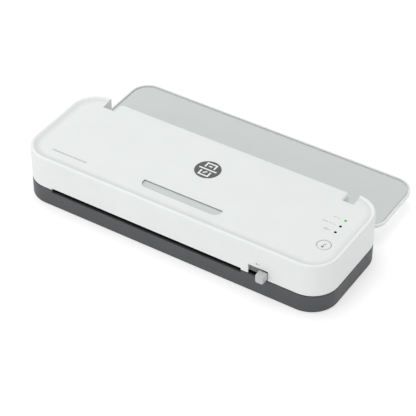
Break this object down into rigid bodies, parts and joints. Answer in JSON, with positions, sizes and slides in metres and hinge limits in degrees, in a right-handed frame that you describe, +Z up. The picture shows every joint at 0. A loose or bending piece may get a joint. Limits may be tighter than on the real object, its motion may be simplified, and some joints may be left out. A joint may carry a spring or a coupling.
{
  "type": "pouch laminator",
  "caption": "Desktop pouch laminator: long low casing with a front exit slot, fold-out rear input tray, power button, status lights and a jam-release slide.",
  "frame": {"origin": "on the table, below the middle of the casing", "axes": "+X to the right of a person who faces the exit slot, +Y to the rear where pouches go in, +Z up"},
  "size_m": [0.366, 0.225, 0.0603],
  "materials": {
    "cover_white": "white moulded ABS, satin with a very fine texture",
    "base_grey": "dark grey moulded ABS, fine texture",
    "tray_white": "white moulded ABS, satin",
    "liner_grey": "light grey plastic, fine texture",
    "badge_grey": "dark grey, smooth",
    "knob_grey": "light grey moulded plastic",
    "shield_grey": "mid grey moulded plastic",
    "button_white": "white moulded plastic, smooth",
    "light_green": "lit green light pipe",
    "light_dark": "unlit dark light pipe",
    "black_plastic": "black moulded plastic",
    "foot_rubber": "matt rubber",
    "silicone": "red-brown silicone rubber",
    "steel": "zinc-plated steel",
    "aluminium": "extruded aluminium",
    "nylon": "natural nylon",
    "brass": "sintered bronze",
    "board_green": "solder-masked board",
    "heater_foil": "polyimide-wrapped heating strip"
  },
  "bodies": {
    "housing": {"base": "base_grey", "top_cover": "cover_white", "rubber_feet": "foot_rubber", "casing_screws": "steel", "cord_gland": "black_plastic", "badge": "badge_grey", "grip_liner": "liner_grey", "hinge_pins": "steel", "tact_switch": "black_plastic", "control_board": "board_green", "ready_light": "light_green", "status_lights": "light_dark", "lever_shield": "shield_grey", "left_frame": "steel", "right_frame": "steel", "frame_screws": "steel", "tie_rods": "steel", "pressure_springs": "steel", "lower_bushes": "brass", "idler_axle": "steel", "motor_plate": "steel", "gear_motor": "steel", "lower_heat_plate": "aluminium", "upper_heat_plate": "aluminium", "lower_heater": "heater_foil", "upper_heater": "heater_foil", "thermostat": "black_plastic", "thermal_fuse": "aluminium", "entry_guide_lower": "black_plastic", "entry_guide_upper": "black_plastic", "exit_guide_lower": "black_plastic", "exit_guide_upper": "black_plastic", "power_board": "board_green", "power_components": "black_plastic"},
    "tray": {"tray_shell": "tray_white", "tray_liner": "liner_grey"},
    "power_button": {"power_button": "button_white", "switch_plunger": "black_plastic"},
    "release_lever": {"release_knob": "knob_grey", "release_slider": "black_plastic"},
    "pressure_carriage": {"bearing_blocks": "nylon"},
    "upper_roller": {"upper_roller_shaft": "steel", "upper_roller_sleeve": "silicone", "upper_roller_gear": "nylon"},
    "lower_roller": {"lower_roller_shaft": "steel", "lower_roller_sleeve": "silicone", "lower_roller_gear": "nylon"},
    "idler_gear": {"idler_gear": "nylon"},
    "motor_pinion": {"motor_pinion": "brass", "motor_shaft": "steel"}
  },
  "joints": [
    {"name": "tray_hinge", "type": "hinge", "parent": "housing", "child": "tray", "pos_m": [0, 0.0585, 0.04], "axis": [1, 0, 0], "range_deg": [0, 180]},
    {"name": "button_press", "type": "slide", "parent": "housing", "child": "power_button", "axis": [0, 0, -1], "range_m": [0, 0.0008], "stiffness_N_per_m": 900, "springref_m": -0.0004},
    {"name": "release_slide", "type": "slide", "parent": "housing", "child": "release_lever", "axis": [1, 0, 0], "range_m": [-0.012, 0]},
    {"name": "nip_lift", "type": "slide", "parent": "housing", "child": "pressure_carriage", "axis": [0, 0, 1], "range_m": [0, 0.0012], "deforming": ["pressure_springs"]},
    {"name": "lower_roller_spin", "type": "hinge", "parent": "housing", "child": "lower_roller", "pos_m": [0, 0, 0.01385], "axis": [1, 0, 0], "continuous": true},
    {"name": "upper_roller_spin", "type": "hinge", "parent": "pressure_carriage", "child": "upper_roller", "pos_m": [0, 0, 0.02915], "axis": [1, 0, 0], "continuous": true},
    {"name": "idler_spin", "type": "hinge", "parent": "housing", "child": "idler_gear", "pos_m": [0.107, 0.01738, 0.01691], "axis": [1, 0, 0], "continuous": true},
    {"name": "pinion_spin", "type": "hinge", "parent": "housing", "child": "motor_pinion", "pos_m": [0.107, 0.02841, 0.03005], "axis": [1, 0, 0], "continuous": true}
  ],
  "couplings": [
    {"joint": "nip_lift", "follows": "release_slide", "ratio": -0.1},
    {"joint": "upper_roller_spin", "follows": "lower_roller_spin", "ratio": -1},
    {"joint": "idler_spin", "follows": "lower_roller_spin", "ratio": -0.75},
    {"joint": "pinion_spin", "follows": "lower_roller_spin", "ratio": 1.0714}
  ]
}
